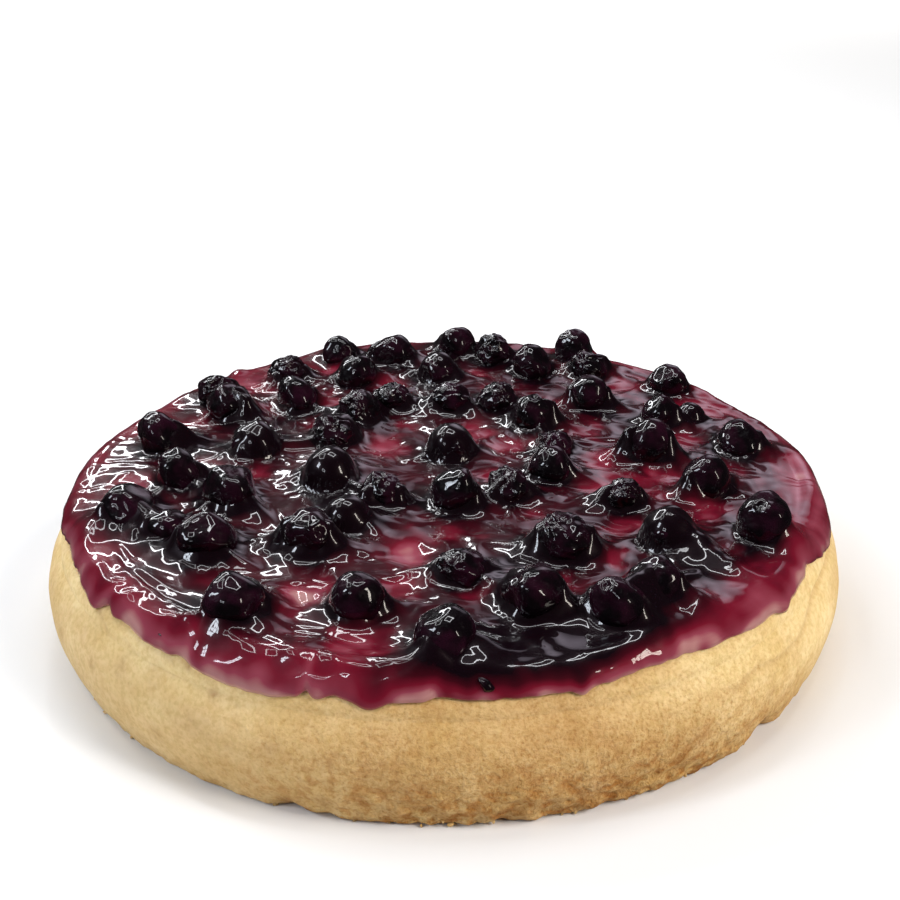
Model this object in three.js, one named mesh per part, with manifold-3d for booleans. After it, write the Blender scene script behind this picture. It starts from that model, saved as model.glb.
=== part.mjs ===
// A round blueberry cake, uncut: a low cake with a bulging side, a glossy fruit glaze that
// covers its top and runs a little way over the shoulder, and whole cooked berries set in
// the glaze. Millimetres, +Z up. The origin is the centre of the flat base, and the front
// of the cake faces -Y.

import * as THREE from "three";
import { mergeVertices } from "three/addons/utils/BufferGeometryUtils.js";
import Module from "manifold-3d";

// ---------------------------------------------------------------- driving dimensions

const SIDE_RADIUS = 116; // widest, at BULGE_HEIGHT
const BULGE_HEIGHT = 15.5;
const FOOT_RADIUS = 112.6; // where the side meets the flat base
const WAIST_RADIUS = 111; // where the side ends and the round shoulder begins
const CAKE_HEIGHT = 34.6; // flat top of the cake under the glaze
const SHOULDER_WIDTH = 7.5; // the shoulder is a quarter of an ellipse
const SHOULDER_DEPTH = 6.5;
const SHOULDER_STEPS = 4;

const GAP = 0.3; // left between pieces that touch
const GLAZE_DEPTH = 3.3; // at the middle of the top
const GLAZE_REACH = 53; // how far the glaze runs round the shoulder, in degrees of its arc
const RIPPLE = 0.45; // height of the broad waves in the glaze
const BERRY_BED = 36; // height of the lowest point of every berry

const TOP_RINGS = 16; // ring k of the glaze's top has 6 k points
const SECTORS = 6 * TOP_RINGS; // round the side, the shoulder and the glaze's edge

const CAKE_COLOUR = "#e2c48a";
const GLAZE_COLOUR = "#3d0f22";
const BERRY_COLOUR = "#1b121c";

// Slow changes of the outline round the cake, as parts of the radius: [cosine, sine] of the
// angle, of twice the angle and of three times the angle.
const FOOT_WAVES = [[-0.003, 0.003], [-0.005, -0.002], [0.002, 0.002]];
const TOP_WAVES = [[0.001, 0], [-0.009, 0.008], [0.003, -0.009]];

// Where the glaze runs lower, or stops higher, than elsewhere:
// [angle, half width, extra degrees of the shoulder's arc]
const RUNS = [
  [-165, 4, 5], [-156, 6, -14], [-143, 3, 6], [-137, 4, -8], [-112, 9, 18], [-99, 4, 13],
  [-90, 3, -6], [-73, 2.5, 12], [-60, 10, -9], [-39, 3, 14], [-28, 5, -11], [-16, 6, 22],
  [12, 8, 14], [41, 6, -9], [73, 9, 12], [101, 5, -8], [128, 8, 13], [158, 6, -6],
];

// Where the glaze bulges outwards past the shoulder: [angle, half width, mm]
const BULGES = [[0, 16, 1.5], [176, 14, 1.3], [-112, 9, 0.4]];

// The berries' forms: height as a part of width, how square the ball is (2 is round), how
// lumpy it is, and how far the glaze climbs up it, in mm
const FORMS = {
  round: { rise: 0.97, square: 2.1, lumps: 0.02, climb: 1.2 },
  boxy: { rise: 0.9, square: 2.7, lumps: 0.03, climb: 1.4 },
  crinkled: { rise: 0.86, square: 2.2, lumps: 0.06, climb: 1.8 },
  coated: { rise: 0.82, square: 2.1, lumps: 0.04, climb: 3.2 },
  sunk: { rise: 0.68, square: 2.2, lumps: 0.05, climb: 2.4 },
};

// The berries from the back of the cake to its front: [x, y, width, form]
const BERRIES = [
  [-37, 87, 12, "round"], [-18.5, 86, 14, "boxy"], [4.3, 92, 13, "round"],
  [17, 85.5, 12.2, "round"], [46, 88, 12.8, "round"], [30.3, 72.5, 12.8, "round"],
  [50.2, 72, 13.5, "crinkled"], [-54, 67, 13.5, "crinkled"], [-30, 65, 12.7, "round"],
  [-2, 69, 12, "coated"], [75, 58, 11.8, "round"], [-75, 50.5, 12.6, "crinkled"],
  [-70, 37, 13.6, "boxy"], [-48, 43, 13.2, "round"], [-17, 44, 12.5, "crinkled"],
  [2, 42, 13, "crinkled"], [17, 43, 13, "crinkled"], [47, 45, 13.8, "round"],
  [-27, 33, 13.5, "crinkled"], [28.5, 28, 12.5, "round"], [68.3, 30, 12.4, "round"],
  [79, 33, 8.6, "coated"], [-34, 16, 13, "crinkled"], [-86, 12, 14, "round"],
  [-58, 10, 13, "coated"], [2, 8, 13.5, "coated"], [33, 7, 11.5, "crinkled"],
  [30, -9, 12.5, "round"], [61, 6, 14.7, "round"], [89.2, 9.5, 13.8, "boxy"],
  [-76, -12, 13, "round"], [-33, -11, 14.2, "coated"], [-60, -25, 15, "boxy"],
  [-17, -25, 12.5, "crinkled"], [3, -26, 14, "round"], [18, -21, 12, "crinkled"],
  [49, -25, 11.5, "crinkled"], [74, -18, 13.5, "round"], [-86, -34, 14, "boxy"],
  [-74, -41, 12, "sunk"], [-26, -37, 12, "coated"], [-35, -50, 13, "round"],
  [-61, -52, 14.8, "boxy"], [31, -53, 15, "crinkled"], [59, -47.5, 13.3, "coated"],
  [84, -44, 14.2, "round"], [4, -64, 13.5, "sunk"], [-50, -82.5, 15, "boxy"],
  [-21, -82, 13, "round"], [21, -80, 15, "boxy"], [0, -97, 14, "boxy"],
  [40.8, -84.2, 13.8, "round"], [51.9, -74.4, 12.5, "round"],
];

// ---------------------------------------------------------------- shared functions

const turn = (degrees) => (degrees * Math.PI) / 180;

// A repeatable stream of numbers from 0 to 1.
function stream(seed) {
  let state = seed >>> 0;
  return () => {
    state = (state + 0x6d2b79f5) >>> 0;
    let t = state;
    t = Math.imul(t ^ (t >>> 15), t | 1);
    t ^= t + Math.imul(t ^ (t >>> 7), t | 61);
    return ((t ^ (t >>> 14)) >>> 0) / 4294967296;
  };
}

// How far round the cake one angle is from another, from 0 to 180 degrees.
const apart = (a, b) => Math.abs(((((a - b) % 360) + 540) % 360) - 180);

// The sum of the swells in a list of [angle, half width, amount], at an angle.
const swell = (list, angle) =>
  list.reduce((sum, [at, half, amount]) => sum + amount * Math.exp(-((apart(angle, at) / half) ** 2)), 0);

// The outline's slow waves at an angle in radians, blended from foot to top by height.
function outline(angle, z) {
  const wave = (pairs) =>
    pairs.reduce((sum, [c, s], k) => sum + c * Math.cos((k + 1) * angle) + s * Math.sin((k + 1) * angle), 0);
  const blend = THREE.MathUtils.clamp(z / CAKE_HEIGHT, 0, 1);
  return 1 + wave(FOOT_WAVES) * (1 - blend) + wave(TOP_WAVES) * blend;
}

// A point on the shoulder's ellipse, moved outwards by an offset: phi is 0 at the flat top.
function shoulder(phi, offset = 0) {
  const normal = new THREE.Vector2(Math.sin(phi) / SHOULDER_WIDTH, Math.cos(phi) / SHOULDER_DEPTH).normalize();
  const r = WAIST_RADIUS - SHOULDER_WIDTH * (1 - Math.sin(phi)) + offset * normal.x;
  const z = CAKE_HEIGHT - SHOULDER_DEPTH * (1 - Math.cos(phi)) + offset * normal.y;
  return new THREE.Vector2(r, z);
}

// Moves every point of a geometry by a function.
function reshape(geometry, move) {
  const place = geometry.attributes.position;
  const point = new THREE.Vector3();
  for (let i = 0; i < place.count; i++) {
    move(point.fromBufferAttribute(place, i));
    place.setXYZ(i, point.x, point.y, point.z);
  }
  return geometry;
}

// A geometry with positions alone, and each point held once.
function welded(geometry) {
  geometry.deleteAttribute("normal");
  geometry.deleteAttribute("uv");
  return mergeVertices(geometry, 1e-4);
}

function named(name, geometry, material) {
  geometry.computeVertexNormals();
  const mesh = new THREE.Mesh(geometry, material);
  mesh.name = name;
  return mesh;
}

// ---------------------------------------------------------------- the cake

// The side bulges in two arcs, above and below its widest height, and the foot is uneven.
function cakeGeometry() {
  const low = (FOOT_RADIUS - SIDE_RADIUS) / BULGE_HEIGHT ** 2;
  const shoulderStart = shoulder(Math.PI / 2);
  const high = (WAIST_RADIUS - SIDE_RADIUS) / (shoulderStart.y - BULGE_HEIGHT) ** 2;
  const profile = [new THREE.Vector2(0, 0)];
  for (const z of [0, 8, BULGE_HEIGHT, 21]) {
    const bend = z < BULGE_HEIGHT ? low : high;
    profile.push(new THREE.Vector2(SIDE_RADIUS + bend * (z - BULGE_HEIGHT) ** 2, z));
  }
  for (let i = SHOULDER_STEPS; i >= 0; i--) {
    profile.push(shoulder((Math.PI / 2) * (i / SHOULDER_STEPS)));
  }
  profile.push(new THREE.Vector2(0, CAKE_HEIGHT));
  const geometry = new THREE.LatheGeometry(profile, SECTORS);
  geometry.rotateX(Math.PI / 2);
  const cake = welded(geometry);
  return reshape(cake, (p) => {
    const angle = Math.atan2(p.y, p.x);
    const crumbly = Math.max(0, 1 - p.z / 7) * 0.9;
    const foot = crumbly * (Math.sin(9 * angle + 1) + Math.sin(23 * angle) + Math.sin(41 * angle + 2)) / 3;
    const stretch = outline(angle, p.z) + foot / SIDE_RADIUS;
    p.x *= stretch;
    p.y *= stretch;
  });
}

// ---------------------------------------------------------------- the glaze

// Height of the glaze over its flat level: broad waves, and a rise towards every berry.
function relief(x, y) {
  let height = RIPPLE * (Math.sin(x / 17 + 1) * Math.cos(y / 21) + 0.5 * Math.sin((x + y) / 11));
  for (const [bx, by, width, form] of BERRIES) {
    const gap = Math.max(0, Math.hypot(x - bx, y - by) - width / 2);
    height += FORMS[form].climb * Math.exp(-((gap / 2.6) ** 2));
  }
  return height;
}

// Joins two rings of points that go round the same way, of any counts, with triangles.
function bridge(faces, inner, outer) {
  let i = 0;
  let j = 0;
  while (i < inner.length || j < outer.length) {
    const a = inner[i % inner.length];
    const b = outer[j % outer.length];
    if (j < outer.length && (j + 0.5) * inner.length <= (i + 0.5) * outer.length) {
      faces.push(a, b, outer[(j + 1) % outer.length]);
      j++;
    } else {
      faces.push(a, b, inner[(i + 1) % inner.length]);
      i++;
    }
  }
}

// The slab of glaze: its top, its rounded edge, its inner face along the shoulder, its flat
// underside.
function glazeGeometry() {
  const points = [];
  const faces = [];
  const flat = shoulder(0).x;

  const ring = (count, place) => {
    const first = points.length / 3;
    for (let i = 0; i < count; i++) {
      const angle = (2 * Math.PI * i) / count;
      const { x: r, y: z } = place(angle);
      const reach = r * outline(angle, z);
      points.push(reach * Math.cos(angle), reach * Math.sin(angle), z);
    }
    return Array.from({ length: count }, (_, i) => first + i);
  };
  const lifted = (r, angle) => {
    const reach = r * outline(angle, CAKE_HEIGHT);
    const top = CAKE_HEIGHT + GAP + GLAZE_DEPTH;
    return new THREE.Vector2(r, top + relief(reach * Math.cos(angle), reach * Math.sin(angle)));
  };
  const edge = (share, thickness) => (angle) => {
    const degrees = THREE.MathUtils.radToDeg(angle);
    const phi = turn(GLAZE_REACH + swell(RUNS, degrees)) * share;
    const bulge = swell(BULGES, degrees) * Math.sin(Math.PI * Math.min(1, share));
    return shoulder(phi, GAP + thickness + bulge);
  };

  let last = ring(1, () => lifted(0, 0));
  for (let k = 1; k <= TOP_RINGS; k++) {
    const next = ring(6 * k, (angle) => lifted((flat * k) / TOP_RINGS, angle));
    if (k === 1) {
      next.forEach((point, i) => faces.push(last[0], point, next[(i + 1) % next.length]));
    } else {
      bridge(faces, last, next);
    }
    last = next;
  }
  const wall = [[0.3, GLAZE_DEPTH], [0.62, 0.82 * GLAZE_DEPTH], [0.88, 0.6 * GLAZE_DEPTH], [1, 0.3 * GLAZE_DEPTH],
    [0.97, 0], [0.68, 0], [0.34, 0], [0, 0]];
  for (const [share, thickness] of wall) {
    const next = ring(SECTORS, edge(share, thickness));
    bridge(faces, last, next);
    last = next;
  }
  const middle = ring(1, () => new THREE.Vector2(0, CAKE_HEIGHT + GAP))[0];
  last.forEach((point, i) => faces.push(middle, last[(i + 1) % last.length], point));

  const geometry = new THREE.BufferGeometry();
  geometry.setAttribute("position", new THREE.Float32BufferAttribute(points, 3));
  geometry.setIndex(faces);
  return geometry;
}

// ---------------------------------------------------------------- the berries

// A cooked berry: an uneven, slightly flattened ball with a dimple where its crown was.
// grown adds to its size, for the hollow that it sits in.
function berryGeometry(index, grown = 0) {
  const [x, y, width, form] = BERRIES[index];
  const { rise, square, lumps } = FORMS[form];
  const draw = stream(index + 11);
  const waves = Array.from({ length: 4 }, () => ({
    way: new THREE.Vector3(draw() - 0.5, draw() - 0.5, draw() - 0.5).normalize(),
    speed: 2 + 2 * draw(),
    start: 6 * draw(),
  }));
  const spin = Math.PI * draw();
  const longer = 1 + 0.05 * (draw() - 0.5);
  const crown = new THREE.Vector3(draw() - 0.5, draw() - 0.5, 0.25 + 0.5 * draw()).normalize();
  const facets = 1.035; // a ball of flat faces is smaller than the round one
  const radius = (facets * width) / 2;

  const ball = welded(new THREE.IcosahedronGeometry(1, 1));
  reshape(ball, (p) => {
    const out = p.clone().normalize();
    const even = (Math.abs(out.x) ** square + Math.abs(out.y) ** square + Math.abs(out.z) ** square) ** (-1 / square);
    const uneven = waves.reduce((sum, w) => sum + Math.sin(w.speed * out.dot(w.way) + w.start), 0);
    const dimple = 0.14 * Math.max(0, (out.dot(crown) - 0.86) / 0.14);
    const size = 1 + 0.6 * (even - 1) + lumps * 0.5 * uneven - dimple;
    p.copy(out).multiplyScalar(size);
    p.set(p.x * radius * longer, (p.y * radius) / longer, p.z * radius * rise);
  });
  ball.rotateZ(spin);
  ball.computeBoundingBox();
  const lift = BERRY_BED - ball.boundingBox.min.z;
  const scale = 1 + grown / (width / 2);
  ball.scale(scale, scale, scale);
  ball.translate(x, y, lift);
  return ball;
}

// ---------------------------------------------------------------- cutting

const wasm = await Module();
wasm.setup();

function solid(geometry) {
  return new wasm.Manifold(
    new wasm.Mesh({
      numProp: 3,
      vertProperties: new Float32Array(geometry.attributes.position.array),
      triVerts: new Uint32Array(geometry.index.array),
    }),
  );
}

// The largest piece of a solid, as a geometry: a thin scrap that a cut leaves is dropped.
function largest(cut) {
  const pieces = cut.decompose().sort((a, b) => b.volume() - a.volume());
  const { vertProperties, triVerts } = pieces[0].getMesh();
  const geometry = new THREE.BufferGeometry();
  geometry.setAttribute("position", new THREE.BufferAttribute(vertProperties, 3));
  geometry.setIndex(new THREE.BufferAttribute(triVerts, 1));
  return geometry;
}

function cutGlaze() {
  return BERRIES.reduce(
    (rest, _, index) => rest.subtract(solid(berryGeometry(index, 1.15 * GAP))),
    solid(glazeGeometry()),
  );
}

// ---------------------------------------------------------------- the model

const crumb = new THREE.MeshStandardMaterial({ color: CAKE_COLOUR, roughness: 0.85, metalness: 0 });
const gel = new THREE.MeshStandardMaterial({ color: GLAZE_COLOUR, roughness: 0.08, metalness: 0 });
const skin = new THREE.MeshStandardMaterial({ color: BERRY_COLOUR, roughness: 0.15, metalness: 0 });

const cake = new THREE.Group();
cake.add(named("cake_body", cakeGeometry(), crumb));
cake.add(named("glaze", largest(cutGlaze()), gel));
BERRIES.forEach((_, index) => {
  cake.add(named(`berry_${String(index + 1).padStart(2, "0")}`, berryGeometry(index), skin));
});

export default cake;
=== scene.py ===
import itertools
import math

import bmesh
import bpy
import numpy as np
from bpy.props import FloatProperty, FloatVectorProperty, IntProperty, PointerProperty
from mathutils import Euler, Matrix, Vector


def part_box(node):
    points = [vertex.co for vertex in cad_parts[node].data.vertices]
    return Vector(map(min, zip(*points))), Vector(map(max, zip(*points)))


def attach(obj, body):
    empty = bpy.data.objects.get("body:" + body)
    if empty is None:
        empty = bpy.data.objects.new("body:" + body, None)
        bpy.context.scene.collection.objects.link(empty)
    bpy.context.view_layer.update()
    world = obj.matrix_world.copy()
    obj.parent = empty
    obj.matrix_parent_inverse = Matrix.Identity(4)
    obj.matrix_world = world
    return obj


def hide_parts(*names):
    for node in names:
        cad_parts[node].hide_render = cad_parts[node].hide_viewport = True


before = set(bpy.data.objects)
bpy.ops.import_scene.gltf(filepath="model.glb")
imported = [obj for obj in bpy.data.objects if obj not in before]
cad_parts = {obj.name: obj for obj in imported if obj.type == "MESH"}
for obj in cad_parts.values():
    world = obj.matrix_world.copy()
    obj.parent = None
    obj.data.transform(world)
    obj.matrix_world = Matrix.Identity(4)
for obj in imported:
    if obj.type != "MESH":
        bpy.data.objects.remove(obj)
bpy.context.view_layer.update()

bl_info = {
    "name": "Blueberry cake",
    "version": (1, 0, 0),
    "blender": (4, 5, 0),
    "location": "View3D > Sidebar > Cake",
    "description": "A round cake with a bulging side, a glossy fruit glaze and whole cooked berries",
    "category": "Add Mesh",
}

# A round, uncut blueberry cake. The berries take their places and sizes from the packed
# solids, and the body and the glaze have the measures of theirs. Shapes are worked out in
# millimetres, and MM makes metres of them where a mesh is written. The camera, the lights
# and the relief of the materials are in metres.
MM = 0.001
BODY = "root"
BERRY_NODES = sorted(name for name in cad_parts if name.startswith("berry_"))
SIDE_SPAN = 115  # radius at which the side is unrolled flat, for lengths along it
SLICES = 12  # equal slices that the side's mesh is made in
BASE_RINGS = (0.0, 60.0, 104.0)  # radii of the mesh's rings on the flat base
TOP_RINGS = (90.0, 50.0, 0.0)  # and on the flat top
UNDER_EDGE = 1.06  # how far the glaze's mesh runs past its lower edge and in under it
GEL_IOR = 1.45  # how strongly the wet film over glaze and berries mirrors

# Seeds of the random draws. Berries and their skirts of gel add the berry's number.
WAY_SEED, CRUMB_SEED, BERRY_SEED, SKIRT_SEED, RIDGE_SEED, SCRAP_SEED = 5, 41, 300, 900, 77, 8

CAMERA_DISTANCE = 0.4033  # metres from the middle of the base
CAMERA_ELEVATION = 30.5  # degrees above the level
CAMERA_TILT = 5.58  # degrees by which it looks above the middle
CAMERA_TURN = -0.26  # degrees about +Z: below 0 it looks to the right
CAMERA_LENS = 52  # millimetres, on a sensor 36 mm wide

SUN_WIDTH = 28  # degrees, which makes the key lights' shadows soft
PANE_STEP = 1.16  # distance between the panes of a barred light, in panes
ROOM_SEEN = 0.55  # brightness of the surroundings to the camera
ROOM_MIRRORED = 0.02  # and to everything else
WHITE = (1.0, 1.0, 1.0)
DAYLIGHT = (0.95, 0.97, 1.0)

# Slow changes of the cake's outline, as parts of its radius: [cosine, sine] of the angle, of
# twice and of three times the angle. The same waves shape the solids.
FOOT_WAVES = ((-0.003, 0.003), (-0.005, -0.002), (0.002, 0.002))
TOP_WAVES = ((0.001, 0.0), (-0.009, 0.008), (0.003, -0.009))

# Notches in the foot of the side, which are also painted darker as shade: (angle, half width in degrees,
# depth, height)
NICKS = (
    (-144, 1, 1.6, 3.2), (-138, 0.8, 1, 2.2), (-108.8, 1.9, 2.6, 3.6), (-104.5, 1, 1.2, 2),
    (-83.2, 0.8, 1.6, 2.6), (-70.2, 1.1, 1.5, 1.6), (-56, 1, 1, 1.8), (-45, 1.9, 4.2, 4.6),
    (-37, 1, 1.4, 2.4), (-20, 1.2, 1.2, 2), (18, 1.6, 1.8, 2.6), (62, 1.2, 1.6, 2.4),
    (97, 2, 2.4, 3), (131, 1.1, 1.4, 2.2), (164, 1.4, 1.8, 2.6),
)

# Soft creases in the side, which are also painted darker as shade: a line of (angle, height) points, half
# width, depth
CREASES = (
    (((-8, 26), (-20, 28), (-29, 28), (-34, 25.5), (-38, 23), (-43, 22.4), (-48, 24), (-53, 22)), 0.8, 0.5),
    (((-150, 34), (-144, 33), (-140, 31.5), (-137.5, 29)), 0.7, 0.35),
    (((-134, 30.5), (-131, 28.5)), 0.6, 0.25),
    (((-127, 33), (-124.5, 30.5)), 0.6, 0.3),
    (((-61, 27.5), (-59.5, 25.5)), 0.5, 0.25),
    (((168, 27), (150, 24), (139, 25), (128, 22.5)), 0.9, 0.45),
    (((20, 24), (38, 26), (55, 23.5)), 0.9, 0.4),
    (((-72.5, 25), (-72, 16), (-72.8, 4)), 0.9, 0.3),
)

# Brown stains on the side: (angle, height, half width, strength)
STAINS = (
    (-131.5, 33, 0.9, 0.7), (-127, 34.5, 0.8, 0.6), (-122.4, 31.6, 0.8, 0.9), (-118.2, 27.6, 1.4, 0.7),
    (-139, 20, 1.8, 0.4), (-133, 24, 2.6, 0.35), (-127.5, 25, 3.2, 0.35), (-126.5, 11.6, 3, 0.35),
    (-120, 20, 4, 0.25), (-109.8, 20, 2.4, 0.4), (-103, 18.4, 1.2, 0.4), (-95, 12, 3.5, 0.35),
    (-72.4, 9, 3.5, 0.45), (-58.5, 15, 3.4, 0.3), (-33.4, 33, 0.6, 0.7), (-46, 15, 2.4, 0.35),
    (-150, 17, 3, 0.3), (170, 15, 3, 0.35), (140, 19, 2.4, 0.4), (112, 10, 3.4, 0.4),
    (85, 17, 2.2, 0.45), (60, 12, 3, 0.35), (32, 18, 2.4, 0.4), (6, 12, 3, 0.35),
)

# Where the glaze runs lower, or stops higher: (angle, half width, degrees of the shoulder)
RUNS = (
    (-165, 3, 5), (-157, 5, -15), (-150, 3, -11), (-142.5, 1.6, 5), (-139.3, 1.3, -16),
    (-134, 4, -9), (-123.6, 1.5, -8), (-113, 8, 17), (-106.4, 0.7, -14), (-103.5, 1.2, -4),
    (-98.8, 2, 14), (-90, 1.8, -7), (-73.5, 1.1, 9), (-66, 2, -6), (-60.5, 5, -11),
    (-54, 4, -4), (-39.6, 1.6, 13), (-29, 4, -12), (-17, 6, 22), (12, 8, 14), (41, 6, -9),
    (58, 2, 9), (73, 9, 12), (88, 2, -7), (101, 5, -8), (114, 1.5, 8), (128, 8, 13),
    (143, 2, -8), (158, 6, -6), (169, 2, 7),
)

# Where the glaze bulges outwards past the shoulder: (angle, half width, mm)
BULGES = ((0, 13, 1.5), (-9, 4, 0.5), (176, 13, 1.3), (-169, 3, 0.8), (-112, 9, 0.3), (133, 1.8, 1.6))

# Where the light rim of the glaze is wider than elsewhere: (angle, half width, mm)
RIM_BANDS = (
    (-150, 16, 4.5), (-118, 16, 6), (-80, 12, -1.5), (0, 34, 8), (-42, 8, 3.5), (60, 20, 5), (115, 24, 6),
    (165, 16, 6),
)

# Where the rim is milky, partly from thin gel over the pale crumb and partly as a painted reflection along
# the edge: (angle, half width, how much)
MILKY_RIM_AND_SHEEN = ((-152, 9, 0.6), (-122, 11, 0.9), (-96, 5, 0.4), (-62, 9, 0.5), (-40, 9, 0.6), (-8, 10, 0.5))

# Where the glaze is thin and shows lighter: (x, y, half width, how much)
THIN_PLACES = (
    (-52, -38, 5, 0.35), (-34, -73, 8, 0.85), (-9, -53, 6, 0.6), (3, -42, 5, 0.35), (-9, -70, 7, 0.4),
    (-19, -92, 8, 0.75), (7, -74, 5, 0.5), (25, -30, 5, 0.4), (29, -70, 4, 0.45), (46, -16, 7, 0.45),
    (62, -19, 7, 0.5), (50, -39, 6, 0.6), (44, -57, 5, 0.6), (73, -27, 8, 0.7), (62, -76, 5, 0.4),
    (68, -86, 9, 0.35), (-63, 66, 11, 0.8), (-88, -11, 7, 0.7), (-54, -6, 6, 0.4), (-43, 54, 6, 0.7),
    (-39, 78, 7, 0.8), (-39, 47, 6, 0.7), (-42, 29, 5, 0.4), (-19, 14, 7, 0.45), (-11, 29, 5, 0.4),
    (10, 25, 6, 0.55), (21, 14, 6, 0.5), (12, -6, 5, 0.4), (10, 73, 5, 0.45), (40, 72, 6, 0.45),
    (37, 46, 6, 0.5), (43, 24, 7, 0.5), (45, 4, 6, 0.65), (65, -9, 8, 0.75), (75, 17, 7, 0.35),
    (85, 42, 9, 0.5), (63, 62, 9, 0.45), (97, -38, 9, 0.5), (-78, 36, 8, 0.6), (-20, 62, 6, 0.55),
    (-72, -4, 7, 0.5), (-57, 40, 6, 0.5),
)

# Where the glaze is deepest and darkest: (x, y, half width, how much)
DEEP_PLACES = (
    (14, -99, 15, 0.4), (32, -94, 11, 0.3), (-88, -34, 7, 0.2), (-60, -76, 7, 0.2),
    (-52, -40, 12, 0.2), (-78, 10, 12, 0.2), (22, -62, 10, 0.25), (66, -62, 9, 0.25),
    (-30, -25, 12, 0.2), (-2, -12, 10, 0.2), (-60, 25, 12, 0.2), (60, 22, 9, 0.2), (0, 60, 14, 0.15),
)

# Folds of gel that hang from a berry or join two: (x, y, x, y, height at one end, at the
# other, half width)
DRAPES = (
    (40.8, -84.2, 51.9, -74.4, 9.4, 9.2, 4.6), (54, -76, 67, -82, 6, 0.8, 3.2),
    (59, -47.5, 73, -61, 8, 1.5, 4), (73, -61, 84, -72, 1.6, 1.2, 2.6),
    (2, -97, 15, -99, 6, 0.6, 3.4), (84, -44, 94, -50, 6, 1.2, 3.6),
    (21, -80, 33, -82, 5.5, 0.8, 2.8), (4, -64, 16, -68, 4, 0.6, 2.4),
    (4, -64, -10, -62, 4, 0.5, 2.4), (-50, -82.5, -38, -88, 6, 0.8, 3),
    (-86, -34, -96, -43, 6.5, 1, 3.6), (-86, -34, -74, -41, 8, 5, 3.4),
    (-26, -37, -16, -44, 6, 0.8, 2.8),
)

# Scraps of berry skin on the rim: (angle, degrees of the shoulder, length)
SCRAPS = ((-85.4, 29, 2.9), (12, 24, 1.5), (-127.5, 30, 1.2))

# How berries differ from a plain glossy ball, by their numbers in the frame
COATED = (10, 22, 25, 26, 32, 41, 45)
WRINKLED = (4, 7, 8, 12, 15, 16, 17, 19, 23, 27, 34, 36, 37, 44, 47)
BOXY = (2, 13, 24, 30, 33, 39, 43, 48, 50, 51)
CROWNED = (1, 3, 5, 7, 12, 20, 42, 46, 50, 52)


# ---------- sizes and colours


def length(name, description, value):
    """A length property, from a default in millimetres."""
    return FloatProperty(name=name, description=description, default=value * MM, unit="LENGTH")


def count(name, description, value):
    """A whole number property."""
    return IntProperty(name=name, description=description, default=value, min=1)


class CakeSizes(bpy.types.PropertyGroup):
    """Sizes of the cake's body."""

    side_radius: length("Side radius", "Radius at the widest height", 116)
    bulge_height: length("Bulge height", "Height of the widest radius", 15.5)
    foot_radius: length("Foot radius", "Radius where the side meets the base", 112.6)
    waist_radius: length("Waist radius", "Radius where the round shoulder begins", 111)
    top_height: length("Top height", "Height of the cake under the glaze", 34.6)
    shoulder_width: length("Shoulder width", "Width of the round shoulder", 7.5)
    shoulder_depth: length("Shoulder depth", "Depth of the round shoulder", 6.5)
    crumb_relief: length("Crumb relief", "Depth of the coarse grain of the side", 0.15)
    sectors: count("Sectors", "Steps round the side", 780)
    crumbs: count("Foot crumbs", "Crumbs along the foot of the side", 150)


class GlazeSizes(bpy.types.PropertyGroup):
    """Sizes of the fruit glaze."""

    depth: length("Depth", "Depth of the glaze over the flat top", 3.3)
    lift: length("Lift", "Clearance between the cake and the glaze", 0.3)
    waves: length("Waves", "Height of the broad waves", 0.5)
    folds: length("Folds", "Height of the narrow folds", 0.55)
    reach: FloatProperty(
        name="Reach", description="How far the glaze runs round the shoulder, as an angle of its arc",
        default=math.radians(53), subtype="ANGLE")
    rings: count("Rings", "Rings of the mesh from the middle to the edge", 155)


class FruitSizes(bpy.types.PropertyGroup):
    """Fineness and relief of the berries."""

    wrinkle: length("Wrinkle", "Depth of the wrinkles of a shrunken berry", 0.42)
    subdivisions: count("Subdivisions", "Fineness of a smooth berry's ball", 4)


def colour(name, description, value):
    """A colour property."""
    return FloatVectorProperty(
        name=name, description=description, subtype="COLOR", size=3, default=value, min=0, max=1)


class CakeColours(bpy.types.PropertyGroup):
    """Colours of the finishes, as linear values."""

    crumb_pale: colour("Pale crumb", "Shoulder and smooth side", (0.9, 0.7, 0.375))
    crumb_mid: colour("Crumb", "Middle of the side", (0.7, 0.475, 0.222))
    crumb_brown: colour("Baked crumb", "Foot and ridges of the side", (0.46, 0.235, 0.075))
    # brown stains, and also painted shade in the side's creases and notches
    crumb_stain_and_shade: colour("Stain", "Brown stains of the side", (0.36, 0.165, 0.055))
    # thinnest glaze over the pale crumb, and also a painted reflection in a band along part of the rim
    glaze_milk_and_sheen: colour("Milky glaze", "Glaze at its thinnest, over pale crumb", (0.42, 0.2, 0.19))
    glaze_thin: colour("Thin glaze", "Glaze at its thin rim", (0.25, 0.045, 0.07))
    glaze_red: colour("Red glaze", "Glaze a millimetre or two deep", (0.14, 0.0055, 0.017))
    glaze_deep: colour("Deep glaze", "Glaze at its full depth", (0.038, 0.0018, 0.0055))
    # darkest deep glaze, and also painted shade round the berries
    glaze_black_and_shade: colour("Darkest glaze", "Glaze round the berries", (0.0038, 0.001, 0.0024))
    berry: colour("Berry", "Skin of a cooked berry", (0.0022, 0.0009, 0.0018))
    berry_plum: colour("Plum", "Lighter patches of the skin", (0.014, 0.002, 0.007))
    floor: colour("Floor", "Pale floor", (0.84, 0.84, 0.84))


# ---------- working functions


def millimetres(group, *names):
    """Length properties of a group, in millimetres."""
    return [getattr(group, name) / MM for name in names]


def apart(angle, other):
    """How far round the cake one angle is from another, in degrees, with its sign."""
    return (angle - other + 180) % 360 - 180


def bell(distance, half, power=2):
    """1 in the middle, and about a third at the half width: a higher power is squarer."""
    return np.exp(-((distance / half) ** power))


def swell(swells, angle):
    """The sum of (angle, half width, amount) swells at an array of angles in degrees."""
    total = np.zeros_like(angle)
    for at, half, amount in swells:
        total += amount * bell(apart(angle, at), half)
    return total


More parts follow.
